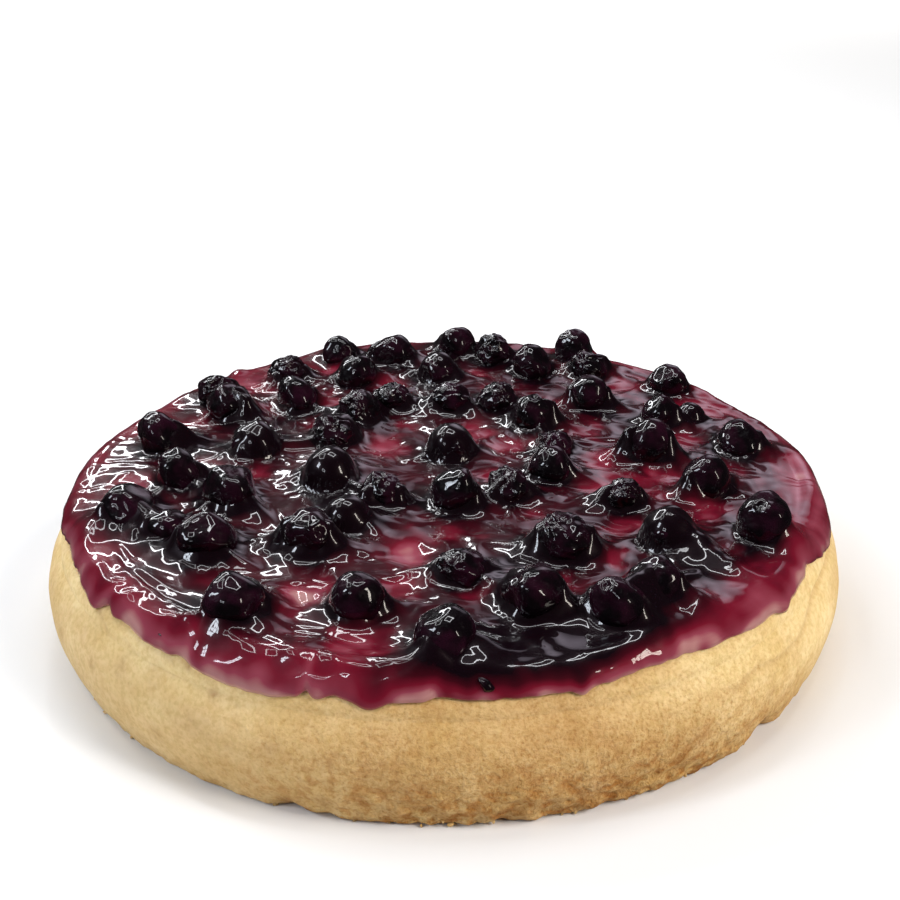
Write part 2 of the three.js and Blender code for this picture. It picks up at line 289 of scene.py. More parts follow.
def outline(angle, height, top):
    """The slow waves of the cake's outline at angles in radians."""
    def wave(pairs):
        return sum(c * np.cos((k + 1) * angle) + s * np.sin((k + 1) * angle)
                   for k, (c, s) in enumerate(pairs))
    blend = np.clip(height / top, 0, 1)
    return 1 + wave(FOOT_WAVES) * (1 - blend) + wave(TOP_WAVES) * blend


def shoulder(sizes, phi, offset=0.0):
    """Radius and height of points on the shoulder's ellipse, moved out by an offset."""
    waist, top, width, depth = millimetres(
        sizes, "waist_radius", "top_height", "shoulder_width", "shoulder_depth")
    across, up = np.sin(phi) / width, np.cos(phi) / depth
    length = np.hypot(across, up)
    radius = waist - width * (1 - np.sin(phi)) + offset * across / length
    height = top - depth * (1 - np.cos(phi)) + offset * up / length
    return radius, height


def unit(vectors):
    """Vectors made one long."""
    return vectors / np.linalg.norm(vectors, axis=-1, keepdims=True)


WAYS = unit(np.random.default_rng(WAY_SEED).normal(size=(1024, 3)))


def corner_way(corner, seed):
    """A repeatable direction for each corner of a lattice of whole numbers."""
    mixed = (corner @ (374761393, 668265263, 1440670441) + seed * 982451653) & 0xFFFFFFFF
    mixed = ((mixed ^ (mixed >> 13)) * 1274126177) & 0xFFFFFFFF
    return WAYS[(mixed >> 16) % len(WAYS)]


def noise(points, size, seed=0):
    """Smooth noise from about -1 to 1 at (n, 3) points, with features of a size."""
    scaled = points / size
    base = np.floor(scaled).astype(np.int64)
    part = scaled - base
    ease = part ** 3 * (part * (part * 6 - 15) + 10)
    both = (1 - ease, ease)
    total = np.zeros(len(points))
    for x, y, z in itertools.product((0, 1), repeat=3):
        weight = both[x][:, 0] * both[y][:, 1] * both[z][:, 2]
        way = corner_way(base + (x, y, z), seed)
        total += weight * np.einsum("ij,ij->i", way, part - (x, y, z))
    return total * 1.6


def ridges(points, size, seed, width=0.3):
    """Narrow round crests from 0 to 1, where noise passes through zero."""
    return bell(noise(points, size, seed), width)


def joined(x, y, z=0.0):
    """Arrays of coordinates as (n, 3) points."""
    return np.stack([x, y, np.full_like(x, z)], -1)


def warped(points, size, amount, seed):
    """Points pushed about by slow noise, so that a pattern on them flows and bends."""
    push = np.stack([noise(points, size, seed + k) for k in range(3)], -1)
    return points + amount * push


def smoothed(low, high, value):
    """0 below low, 1 above high, and a smooth slope between."""
    share = np.clip((value - low) / (high - low), 0, 1)
    return share * share * (3 - 2 * share)


def line_distance(across, up, line):
    """Distance on the unrolled side from points to a line of (angle, height) points."""
    nearest = np.full_like(across, 1e6)
    for (angle, height), (next_angle, next_height) in zip(line, line[1:]):
        start, end = (SIDE_SPAN * math.radians(a) for a in (angle, next_angle))
        run, climb = end - start, next_height - height
        share = ((across - start) * run + (up - height) * climb) / (run * run + climb * climb)
        share = np.clip(share, 0, 1)
        away = np.hypot(across - start - share * run, up - height - share * climb)
        nearest = np.minimum(nearest, away)
    return nearest


# ---------- meshes


def vertex_places(piece):
    """The piece's vertices as an (n, 3) array in millimetres."""
    mesh = piece.data
    places = np.empty(len(mesh.vertices) * 3)
    mesh.vertices.foreach_get("co", places)
    return places.reshape(-1, 3) / MM


def place_vertices(piece, places):
    """Move the piece's vertices to places in millimetres."""
    piece.data.vertices.foreach_set("co", (places * MM).ravel())
    piece.data.update()


def add_object(name, data):
    """A new object in the scene."""
    made = bpy.data.objects.new(name, data)
    bpy.context.scene.collection.objects.link(made)
    return made


def add_mesh(name, form, finish):
    """A bmesh becomes an object with a finish."""
    mesh = bpy.data.meshes.new(name)
    form.to_mesh(mesh)
    form.free()
    mesh.materials.append(finish_of(finish))
    return add_object(name, mesh)


def finish_piece(name, form, finish, replaced=()):
    """A bmesh becomes a piece that rides on the cake and stands for its CAD nodes."""
    piece = add_mesh(name, form, finish)
    piece.data.polygons.foreach_set("use_smooth", [True] * len(piece.data.polygons))
    if replaced:
        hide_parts(*replaced)
    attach(piece, BODY)
    return piece


def set_attribute(piece, name, values):
    """A number from 0 to 1 for each vertex, which a material reads."""
    layer = piece.data.attributes.new(name, "FLOAT", "POINT")
    layer.data.foreach_set("value", np.clip(values, 0, 1).astype(np.float32))


# ---------- materials


def mottle_group():
    """Mottling: a slow and a fast noise on Object coordinates, as two masks."""
    group = bpy.data.node_groups.new("Mottle", "ShaderNodeTree")
    for socket, value in (("Slow", 80.0), ("Fast", 700.0), ("Detail", 3.0)):
        made = group.interface.new_socket(socket, in_out="INPUT", socket_type="NodeSocketFloat")
        made.default_value = value
    inside, outside, place = (
        group.nodes.new(kind) for kind in ("NodeGroupInput", "NodeGroupOutput", "ShaderNodeTexCoord"))
    for socket in ("Slow", "Fast"):
        mask = f"{socket} mask"
        group.interface.new_socket(mask, in_out="OUTPUT", socket_type="NodeSocketFloat")
        texture = group.nodes.new("ShaderNodeTexNoise")
        texture.inputs["Roughness"].default_value = 0.6
        group.links.new(inside.outputs["Detail"], texture.inputs["Detail"])
        group.links.new(place.outputs["Object"], texture.inputs["Vector"])
        group.links.new(inside.outputs[socket], texture.inputs["Scale"])
        group.links.new(texture.outputs["Fac"], outside.inputs[mask])
    return group


def use_mottle(tree, slow, fast, detail):
    """The two masks of the mottling, at scales of its slow and its fast noise."""
    node = tree.nodes.new("ShaderNodeGroup")
    node.node_tree = bpy.data.node_groups.get("Mottle") or mottle_group()
    for socket, value in (("Slow", slow), ("Fast", fast), ("Detail", detail)):
        node.inputs[socket].default_value = value
    return node.outputs["Slow mask"], node.outputs["Fast mask"]


def new_material(name, **values):
    """A material and its node tree, with inputs of its shader set."""
    material = bpy.data.materials.new(name)
    material.use_nodes = True
    tree = material.node_tree
    shader = tree.nodes["Principled BSDF"]
    for key, value in values.items():
        shader.inputs[key.replace("_", " ")].default_value = value
    return material, tree, shader


def ramp(tree, factor, stops):
    """A colour ramp through (place, colour) stops, driven by a socket."""
    node = tree.nodes.new("ShaderNodeValToRGB")
    while len(node.color_ramp.elements) < len(stops):
        node.color_ramp.elements.new(0.5)
    for element, (place, value) in zip(node.color_ramp.elements, stops):
        element.position = place
        element.color = (*value, 1)
    tree.links.new(factor, node.inputs["Fac"])
    return node.outputs["Color"]


def mix(tree, factor, first, second, blend="MIX"):
    """A colour mix: each of the three is a socket or a value."""
    node = tree.nodes.new("ShaderNodeMix")
    node.data_type = "RGBA"
    node.blend_type = blend
    for socket, value in zip((node.inputs[0], node.inputs[6], node.inputs[7]), (factor, first, second)):
        if isinstance(value, bpy.types.NodeSocket):
            tree.links.new(value, socket)
        else:
            socket.default_value = value if isinstance(value, float) else (*value, 1)
    return node.outputs[2]


def math_node(tree, operation, first, second):
    """A sum or product of two sockets or numbers."""
    node = tree.nodes.new("ShaderNodeMath")
    node.operation = operation
    for socket, value in zip(node.inputs, (first, second)):
        if isinstance(value, bpy.types.NodeSocket):
            tree.links.new(value, socket)
        else:
            socket.default_value = value
    return node.outputs[0]


def attribute(tree, name):
    """The socket of a vertex attribute."""
    node = tree.nodes.new("ShaderNodeAttribute")
    node.attribute_name = name
    return node.outputs["Fac"]


def surface(tree, shader, toned, height, strength, distance):
    """Give a shader its colour, and fine relief from the socket of a height."""
    tree.links.new(toned, shader.inputs["Base Color"])
    node = tree.nodes.new("ShaderNodeBump")
    node.inputs["Strength"].default_value = strength
    node.inputs["Distance"].default_value = distance
    tree.links.new(height, node.inputs["Height"])
    tree.links.new(node.outputs["Normal"], shader.inputs["Normal"])


def crumb_material(colours):
    """Cake crumb: pale cream to golden brown, stained and finely pitted, hardly shiny, with painted shade
    in the low places of its coarse relief, in its creases and notches and in the front middle, and painted
    light on its right side.
    """
    material, tree, shader = new_material(
        "cake_crumb", Roughness=0.7, Specular_IOR_Level=0.25, Subsurface_Weight=0.1,
        Subsurface_Radius=(1.0, 0.6, 0.3), Subsurface_Scale=0.0015)
    slow, fast = use_mottle(tree, 60.0, 1150.0, 3.0)
    lumps, grains = use_mottle(tree, 300.0, 700.0, 3.0)
    # tone of the side from its baking, with painted light and shade: lighter on the lit right, darker in
    # the front middle
    toned = ramp(tree, attribute(tree, "bake_and_painted_light"), (
        (0.0, colours.crumb_pale), (0.5, colours.crumb_mid), (1.0, colours.crumb_brown)))
    patches = ramp(tree, slow, ((0.38, WHITE), (0.68, (0.87, 0.82, 0.68))))
    pores = ramp(tree, fast, ((0.3, (0.66, 0.5, 0.32)), (0.46, (0.9, 0.86, 0.78)), (0.62, WHITE)))
    pitted = mix(tree, attribute(tree, "porous"), WHITE, pores)
    # painted shade: darker and warmer where the coarse relief is lowest
    painted_hollow_shade = ramp(tree, lumps, ((0.38, (0.74, 0.53, 0.32)), (0.5, (0.96, 0.91, 0.82)), (0.58, WHITE)))
    hollow_shade_mix = mix(tree, attribute(tree, "coarse"), WHITE, painted_hollow_shade)
    specks = ramp(tree, grains, ((0.36, (0.86, 0.82, 0.7)), (0.56, WHITE)))
    for share, shade in ((0.8, patches), (1.0, pitted), (1.0, hollow_shade_mix), (0.8, specks)):
        toned = mix(tree, share, toned, shade, "MULTIPLY")
    # the brown of the stains, which also carries painted shade in the creases and notches
    stained_and_shaded = mix(tree, attribute(tree, "stain_and_shade"), toned, colours.crumb_stain_and_shade)
    pits = math_node(tree, "MULTIPLY", attribute(tree, "porous"), 0.3)
    pits = math_node(tree, "MULTIPLY", fast, pits)
    clumps = math_node(tree, "MULTIPLY", lumps, attribute(tree, "coarse"))
    surface(tree, shader, stained_and_shaded, math_node(tree, "ADD", pits, clumps), 0.9, 0.0026)
    return material


def glaze_material(colours):
    """Set fruit gel: colour by its depth, with painted shade round the berries and a painted reflection
    along part of the rim, very glossy.
    """
    material, tree, shader = new_material(
        "fruit_glaze", Roughness=0.3, Specular_IOR_Level=0.1, Specular_Tint=(1.0, 0.8, 0.86, 1.0),
        Coat_Weight=1.0, Coat_Roughness=0.03, Coat_IOR=GEL_IOR,
        Subsurface_Weight=0.08, Subsurface_Radius=(1.0, 0.25, 0.3), Subsurface_Scale=0.002)
    slow, fast = use_mottle(tree, 130.0, 260.0, 1.0)
    uneven = math_node(tree, "MULTIPLY", slow, 0.16)
    # the depth value carries painted shade round the berries and a painted reflection on the rim
    depth = math_node(tree, "ADD", attribute(tree, "gel_depth_and_painted_light"), uneven)
    depth = math_node(tree, "SUBTRACT", depth, 0.08)
    toned = ramp(tree, depth, (
        (0.0, colours.glaze_milk_and_sheen), (0.16, colours.glaze_thin), (0.36, colours.glaze_red),
        (0.62, colours.glaze_deep), (0.92, colours.glaze_black_and_shade)))
    surface(tree, shader, toned, fast, 0.2, 0.0006)
    return material


def berry_material(colours):
    """Wet berry skin: nearly black plum under a film of gel."""
    material, tree, shader = new_material(
        "berry_skin", Roughness=0.35, Specular_IOR_Level=0.05, Coat_Weight=1.0, Coat_Roughness=0.04,
        Coat_IOR=GEL_IOR)
    slow, fast = use_mottle(tree, 160.0, 420.0, 2.0)
    toned = ramp(tree, slow, ((0.42, colours.berry), (0.66, colours.berry_plum)))
    surface(tree, shader, toned, fast, 0.6, 0.0008)
    return material


def floor_material(colours):
    """Plain pale matt floor."""
    return new_material("pale_floor", Roughness=0.9, Base_Color=(*colours.floor, 1))[0]


FINISHES = {
    "cake_crumb": crumb_material,
    "fruit_glaze": glaze_material,
    "berry_skin": berry_material,
    "pale_floor": floor_material,
}


def finish_of(name):
    """A material by name, made when it is first asked for."""
    return bpy.data.materials.get(name) or FINISHES[name](bpy.context.scene.cake_colours)


# ---------- the cake's body


def side_profile(sizes):
    """(radius, height) points of the cake's half section from the base to the flat top."""
    side, bulge, foot, waist, top = millimetres(
        sizes, "side_radius", "bulge_height", "foot_radius", "waist_radius", "top_height")
    start = shoulder(sizes, math.pi / 2)[1]
    low = (foot - side) / bulge ** 2
    high = (waist - side) / (start - bulge) ** 2
    points = [(radius, 0.0) for radius in (*BASE_RINGS, foot - 2.4)]
    for height in np.arange(0.25, start, 0.42):
        bend = low if height < bulge else high
        points.append((side + bend * (height - bulge) ** 2, height))
    points += [shoulder(sizes, phi) for phi in np.linspace(math.pi / 2, 0, 22)]
    return points + [(radius, top) for radius in TOP_RINGS]


def roughness_of_side(degrees):
    """Where the crumb is coarse and open, from 0 to 1: the front and part of the back."""
    return bell(apart(degrees, -76), 36, 4) + 0.7 * bell(apart(degrees, 95), 62, 4)


def notches(degrees, height):
    """Depth in mm of the notches in the foot, at points of the side."""
    total = np.zeros_like(height)
    for at, half, depth, tall in NICKS:
        total += depth * bell(apart(degrees, at), half) * bell(height, tall)
    return total


def side_points(places, stretch):
    """Height, angle, angle in degrees and roughness of the side, and points on an even ring
    that its noise is read at, stretched upwards."""
    x, y, z = places.T
    angle = np.arctan2(y, x)
    ring = joined(SIDE_SPAN * np.cos(angle), SIDE_SPAN * np.sin(angle), stretch * z)
    degrees = np.degrees(angle)
    return z, angle, degrees, roughness_of_side(degrees), ring


def shape_side(places, sizes):
    """The cake's waves, crumbly foot, grain and soft creases, on the spun side."""
    top, grain = millimetres(sizes, "top_height", "crumb_relief")
    z, angle, degrees, rough, ring = side_points(places, 1.0)
    radius = np.hypot(places[:, 0], places[:, 1])
    on_side = smoothed(96, 108, radius) * smoothed(-0.1, 0.2, z)
    relief = 0.42 * noise(ring, 27, 1) + 0.22 * noise(ring, 10, 2)
    relief += (0.25 + rough) * grain * (noise(ring * (1, 1, 1.5), 2.7, 3) + 0.8 * noise(ring, 1.3, 4))
    relief -= rough * 0.5 * np.maximum(0, noise(ring * (1, 1, 1.4), 2.1, 7) - 0.5)
    for line, half, depth in CREASES:
        away = line_distance(SIDE_SPAN * angle, z, line)
        relief -= depth * (bell(away, half) - 0.25 * bell(away, 3 * half))
    lower = rough * (1 - smoothed(4, 19, z))
    relief += lower * (0.75 * noise(ring, 4.4, 15) + 0.6 * noise(ring, 2.1, 16))
    relief -= lower * 1.1 * np.maximum(0, noise(ring, 3.1, 19) - 0.4)
    low = 1 - smoothed(0.3, 6.0, z)
    relief += low * (0.7 * noise(ring, 6.5, 5) + 0.45 * noise(ring, 2.8, 6) - 0.25)
    relief -= 1.1 * (1 - smoothed(0.0, 1.1, z)) * (0.8 + 0.6 * noise(ring * (1, 1, 0), 3.5, 8))
    relief -= notches(degrees, z)
    moved = radius * outline(angle, z, top) + relief * on_side
    share = moved / np.maximum(radius, 1e-6)
    return joined(places[:, 0] * share, places[:, 1] * share, z)


def side_tones(places):
    """The side's tone of baking, and how porous, stained and coarse it is at each vertex, with painted
    light and shade in the tone and painted shade in the creases and notches.
    """
    z, angle, degrees, rough, ring = side_points(places, 1.5)
    low = 1 - smoothed(1.0, 17.0, z)
    bake_and_painted_light = 0.3 + 0.29 * rough + low * 0.06 * rough
    bake_and_painted_light += 0.14 * noise(ring, 26, 11) + 0.09 * noise(ring, 9, 12) + 0.05 * noise(ring, 2.4, 18)
    bake_and_painted_light += low * rough * (0.34 * noise(ring, 7, 16) + 0.24 * noise(ring, 2.8, 17))
    bake_and_painted_light -= 0.26 * smoothed(22, 30, z) * (1 - 0.5 * rough)
    # lighter on the right: partly the smooth pale crumb there, partly painted light where the side is lit
    # most
    bake_and_painted_light -= 0.4 * bell(apart(degrees, -40), 19) * smoothed(9, 19, z)
    # darker in the front middle: painted shade where less light falls
    bake_and_painted_light += 0.12 * bell(apart(degrees, -82), 13) * smoothed(8, 14, z)
    bake_and_painted_light -= 0.16 * bell(apart(degrees, -42), 24, 4) * smoothed(23.5, 25.5, z)
    # darker along the very foot of the side
    bake_and_painted_light += 0.22 * (1 - smoothed(0.0, 1.8, z))
    porous = 0.14 + 0.8 * rough * (1 - 0.4 * smoothed(17, 29, z))
    stain_and_shade = np.zeros_like(z)
    uneven = 0.75 + 0.6 * noise(ring, 1.6, 13)
    for at, height, half, strength in STAINS:
        away = np.hypot(SIDE_SPAN * np.radians(apart(degrees, at)), z - height)
        stain_and_shade += strength * bell(away, half) * uneven
    # creases painted darker: painted shade in them
    for line, half, depth in CREASES:
        stain_and_shade += 0.5 * depth * bell(line_distance(SIDE_SPAN * angle, z, line), half)
    # notches painted darker: painted shade in them
    stain_and_shade += 0.2 * notches(degrees, z)
    stain_and_shade += 0.22 * np.maximum(0, noise(ring, 3.2, 14) - 0.45) / 0.5
    coarse = 0.16 + 0.8 * rough * (1 - smoothed(6, 27, z)) + 0.2 * (1 - smoothed(0, 7, z))
    return bake_and_painted_light, porous, np.minimum(stain_and_shade, 0.75), coarse


def set_on(radius, height, angle, turn, squash):
    """A matrix that squashes and turns a small shape, and puts it on the cake's side."""
    place = Vector((radius * math.cos(angle), radius * math.sin(angle), height)) * MM
    return Matrix.Translation(place) @ Euler(turn).to_matrix().to_4x4() @ Matrix.Diagonal((*squash, 1))


class CAKE_OT_body(bpy.types.Operator):
    """Make the cake's body: bulging side, round shoulder, crumbly foot"""

    bl_idname = "cake.body"
    bl_label = "Cake body"

    def execute(self, context):
        sizes = context.scene.cake_sizes
        form = bmesh.new()
        line = [form.verts.new((r * MM, 0, h * MM)) for r, h in side_profile(sizes)]
        edges = [form.edges.new(pair) for pair in zip(line, line[1:])]
        # one slice is spun, and the others are copies of it, which is quicker than a full spin
        bmesh.ops.spin(
            form, geom=line + edges, cent=(0, 0, 0), axis=(0, 0, 1), angle=2 * math.pi / SLICES,
            steps=sizes.sectors // SLICES)
        first = form.verts[:] + form.edges[:] + form.faces[:]
        for turn in range(1, SLICES):
            copy = bmesh.ops.duplicate(form, geom=first)["geom"]
            bmesh.ops.rotate(
                form, verts=[part for part in copy if isinstance(part, bmesh.types.BMVert)],
                cent=(0, 0, 0), matrix=Matrix.Rotation(2 * math.pi * turn / SLICES, 3, "Z"))
        bmesh.ops.remove_doubles(form, verts=form.verts, dist=0.001 * MM)
        bmesh.ops.recalc_face_normals(form, faces=form.faces)
        piece = finish_piece("cake_crumb_body", form, "cake_crumb", ("cake_body",))
        places = shape_side(vertex_places(piece), sizes)
        place_vertices(piece, places)
        for name, values in zip(("bake_and_painted_light", "porous", "stain_and_shade", "coarse"), side_tones(places)):
            set_attribute(piece, name, values)
        return {"FINISHED"}


class CAKE_OT_crumbs(bpy.types.Operator):
    """Make the crumbs that cling to the foot of the side"""

    bl_idname = "cake.crumbs"
    bl_label = "Foot crumbs"

    def execute(self, context):
        sizes = context.scene.cake_sizes
        foot, top = millimetres(sizes, "foot_radius", "top_height")
        draw = np.random.default_rng(CRUMB_SEED)
        form = bmesh.new()
        for _ in range(sizes.crumbs):
            angle, half = draw.uniform(-math.pi, math.pi), draw.uniform(0.35, 0.95)
            height = half * 0.5 + draw.exponential(0.8)
            reach = foot + 0.4 * height + draw.uniform(-1.5, -0.35)
            reach *= float(outline(angle, height, top))
            turn, squash = draw.uniform(0, 6.28, 3), draw.uniform(0.6, 1.1, 3)
            where = set_on(reach, height, angle, turn, squash)
            bmesh.ops.create_icosphere(form, subdivisions=2, radius=half * MM, matrix=where)
        piece = finish_piece("foot_crumbs", form, "cake_crumb")
        places = warped(vertex_places(piece), 0.8, 0.34, 42)
        places[:, 2] = np.maximum(places[:, 2], 0.02)
        place_vertices(piece, places)
        for name, value in (("bake_and_painted_light", 0.44), ("porous", 0.3), ("stain_and_shade", 0.0), ("coarse", 0.3)):
            set_attribute(piece, name, np.full(len(places), value))
        return {"FINISHED"}


# ---------- the berries


def berry_places():
    """For each berry: its number, and its box's centre and half sizes in millimetres."""
    places = []
    for name in BERRY_NODES:
        low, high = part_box(name)
        centre = np.array((low + high) / 2) / MM
        half = np.array((high - low) / 2) / MM
        places.append((int(name.split("_")[1]), centre, half))
    return places


def flattened(ways, draw, sides, low, high, edge):
    """Radius of a ball that a number of flat sides cut, with round edges between them."""
    total = np.ones(len(ways))
    for _ in range(sides):
        face = unit(draw.normal(size=3))
        total += (np.maximum(0, ways @ face) / draw.uniform(low, high)) ** edge
    return total ** (-1 / edge)


def crown_relief(ways, draw):
    """Depth in mm of the flower end: a low star-shaped rim round a hollow."""
    crown = unit(draw.uniform((-0.7, -0.9, 0.3), (0.7, 0.1, 0.9)))
    side = unit(np.cross(crown, (0.3, 0.5, 0.8)))
    off = np.degrees(np.arccos(np.clip(ways @ crown, -1, 1)))
    around = np.arctan2(ways @ np.cross(crown, side), ways @ side)
    rim = 18 + 3.5 * np.cos(5 * around)
    return 0.5 * bell(off - rim, 4.5) - 0.9 * bell(off, 12)


def shape_berry(number, ways, half, wrinkle):
    """The surface of one berry: unit directions become places round its centre."""
    draw = np.random.default_rng(BERRY_SEED + number)
    faces = (8, 0.74, 0.92, 12) if number in BOXY else (6, 0.8, 0.98, 11)
    size = flattened(ways, draw, *faces)
    size += 0.08 * noise(ways, 0.95, number) + 0.045 * noise(ways, 0.45, number + 60)
    if number in WRINKLED:
        lines = ridges(warped(ways, 0.8, 0.3, number), 0.62, number + 9, 0.2)
        size += wrinkle / half[0] * (1.3 * lines - 0.5 + 0.4 * noise(ways, 0.34, number + 20))
    if number in WRINKLED or number in CROWNED:
        size += crown_relief(ways, draw) / half[0]
    body = ways * size[:, None]
    # narrower towards the top, and leaning a little
    body[:, :2] *= 1 - draw.uniform(0.04, 0.26) * (body[:, 2:] + 1) / 2
    body[:, :2] += draw.uniform(-0.14, 0.14, 2) * body[:, 2:]
    middle = (body.max(0) + body.min(0)) / 2
    return (body - middle) / ((body.max(0) - body.min(0)) / 2) * half


class CAKE_OT_berries(bpy.types.Operator):
    """Make the cooked berries, each in the place of its solid"""

    bl_idname = "cake.berries"
    bl_label = "Berries"

    def execute(self, context):
        sizes = context.scene.fruit_sizes
        wrinkle = sizes.wrinkle / MM
        for number, centre, half in berry_places():
            form = bmesh.new()
            finer = 1 if number in WRINKLED else 0
            bmesh.ops.create_icosphere(form, subdivisions=sizes.subdivisions + finer, radius=MM)
            node = f"berry_{number:02d}"
            piece = finish_piece(f"{node}_skin", form, "berry_skin", (node,))
            ways = unit(vertex_places(piece))
            place_vertices(piece, shape_berry(number, ways, half, wrinkle) + centre)
        return {"FINISHED"}


# ---------- the glaze


class Heap:
    """A smooth maximum of many heights: where two meet, they join in a soft valley."""

    def __init__(self, like, steep=1.25):
        self.total = np.ones_like(like)
        self.steep = steep

    def add(self, height):
        self.total += np.expm1(self.steep * np.maximum(height, 0))

    def height(self):
        return np.log(self.total) / self.steep


def gel_skirt(x, y, number, centre, half, crest):
    """Gel that climbs one berry, higher on one or two sides, or covers it all over."""
    draw = np.random.default_rng(SKIRT_SEED + number)
    away = np.hypot(x - centre[0], y - centre[1])
    bearing = np.degrees(np.arctan2(y - centre[1], x - centre[0]))
    wall = (half[0] + half[1]) / 2
    lobes = np.zeros_like(x)
    for low, high in ((-50, 70), (50, 230)):
        lobes += bell(apart(bearing, draw.uniform(low, high)), draw.uniform(28, 52))
    lobes = np.minimum(lobes, 1)
    climb = crest * (draw.uniform(0.02, 0.13) + draw.uniform(0.38, 0.66) * lobes)
    length = draw.uniform(1.2, 1.9) + draw.uniform(1.0, 2.4) * lobes
    skirt = climb * np.exp(-np.maximum(0, away - wall) / length)
    rise = skirt + 0.5 * (crest - climb) * np.clip(1 - (away / wall) ** 2, 0, 1)
    if number in COATED:
        dome = (crest + 0.7) * np.sqrt(np.clip(1 - (away / (1.13 * wall)) ** 2, 0, 1))
        rise = np.maximum(rise, dome)
    return rise, away - wall


def gel_ridge(x, y, start, end, high, low, width, sag=1.7):
    """A ridge of gel between two points that sags between its ends."""
    run = np.array(end) - start
    length = float(np.hypot(*run))
    share = ((x - start[0]) * run[0] + (y - start[1]) * run[1]) / length ** 2
    off = np.abs((x - start[0]) * run[1] - (y - start[1]) * run[0]) / length
    beyond = np.maximum(0, np.abs(share - 0.5) - 0.5) * length
    share = np.clip(share, 0, 1)
    crest = high * (1 - share) ** sag + low * share ** sag
    wide = width * (1 + 0.5 * np.sin(math.pi * share))
    return crest * bell(off, wide) * bell(beyond, 2)


def glaze_rise(x, y, level, sizes):
    """Height of the gel over its level, and how near the berries are, from 0 to 1."""
    waves, folds = millimetres(sizes, "waves", "folds")
    heap = Heap(x)
    near = np.zeros_like(x)
    berries = berry_places()
    for number, centre, half in berries:
        rise, off = gel_skirt(x, y, number, centre, half, centre[2] + half[2] - level)
        heap.add(rise)
        near = np.maximum(near, np.exp(-np.maximum(0, off) / 3.4))
    draw = np.random.default_rng(RIDGE_SEED)
    for (_, here, half), (_, there, other) in itertools.combinations(berries, 2):
        gap = math.dist(here[:2], there[:2])
        if gap < 25 and draw.uniform() < 0.6:
            ends = draw.uniform(3, 5.2), draw.uniform(3, 5.2)
            heap.add(gel_ridge(x, y, here[:2], there[:2], *ends, draw.uniform(1.1, 2.1)))
    for _, centre, half in berries:
        turn, length = draw.uniform(-0.6, 3.8), half[0] + draw.uniform(4, 11)
        end = centre[:2] + length * np.array([math.cos(turn), math.sin(turn)])
        start_height = draw.uniform(0.45, 0.75) * (centre[2] + half[2] - level)
        heap.add(gel_ridge(x, y, centre[:2], end, start_height, 0.2, draw.uniform(1.2, 2.2), 1.3))
    for start_x, start_y, end_x, end_y, high, low, width in DRAPES:
        heap.add(gel_ridge(x, y, (start_x, start_y), (end_x, end_y), high, low, width, 1.0))
    height = heap.height()
    place = joined(x, y)
    height += waves * (noise(place, 19, 21) + 0.7 * noise(place, 10, 22))
    flow = warped(place, 15, 7, 23)
    fine = ridges(flow * (0.85, 1.2, 1), 11, 27) + 0.5 * noise(flow * (0.75, 1.25, 1), 5.4, 28)
    crept, along_rim = rim_folds(x, y)
    calm = 1 - 0.5 * smoothed(84, 98, np.hypot(x, y))
    height += folds * (calm * fine * (1 - 0.75 * crept) + along_rim * crept)
    height += 0.6 * smoothed(50, 78, x) * rim_streaks(x, y)
    height -= 1.2 * thin_places(x, y)
    return height, near


def rim_streaks(x, y):
    """Long streaks that run along the rim, from about -1 to 1."""
    return streaks_along(np.hypot(x, y), 20 * np.arctan2(y, x))


def streaks_along(across, along):
    """Long streaks that flow in one direction of two, from about -1 to 1."""
    return noise(warped(joined(across, along), 10, 3, 39), 4.2, 40)


def thin_places(x, y):
    """How thin the gel is, from 0 to about 1, in patches with uneven edges."""
    place = warped(warped(joined(x, y), 9, 4.5, 60), 3.5, 1.2, 64)
    thin = np.zeros_like(x)
    for at_x, at_y, half, amount in THIN_PLACES:
        away = np.hypot(place[:, 0] - at_x, place[:, 1] - at_y)
        thin = np.maximum(thin, amount * bell(away, half, 3))
    return thin


def rim_folds(x, y):
    """Where the gel has crept forward at the front left, and the long folds along the rim there."""
    radius, angle = np.hypot(x, y), np.degrees(np.arctan2(y, x))
    crept = bell(apart(angle, -120), 38, 4) * bell(radius - 99, 13, 4)
    strip = warped(joined(radius, np.radians(angle) * 18), 9, 2.5, 51)
    folds = 1.5 * ridges(strip, 6.5, 54, 0.4) + 0.4 * noise(strip, 4.2, 55)
    outer = warped(joined(radius, np.radians(angle) * 42), 7, 2, 57)
    return crept, folds + 1.8 * smoothed(98, 105, radius) * ridges(outer, 5, 58)


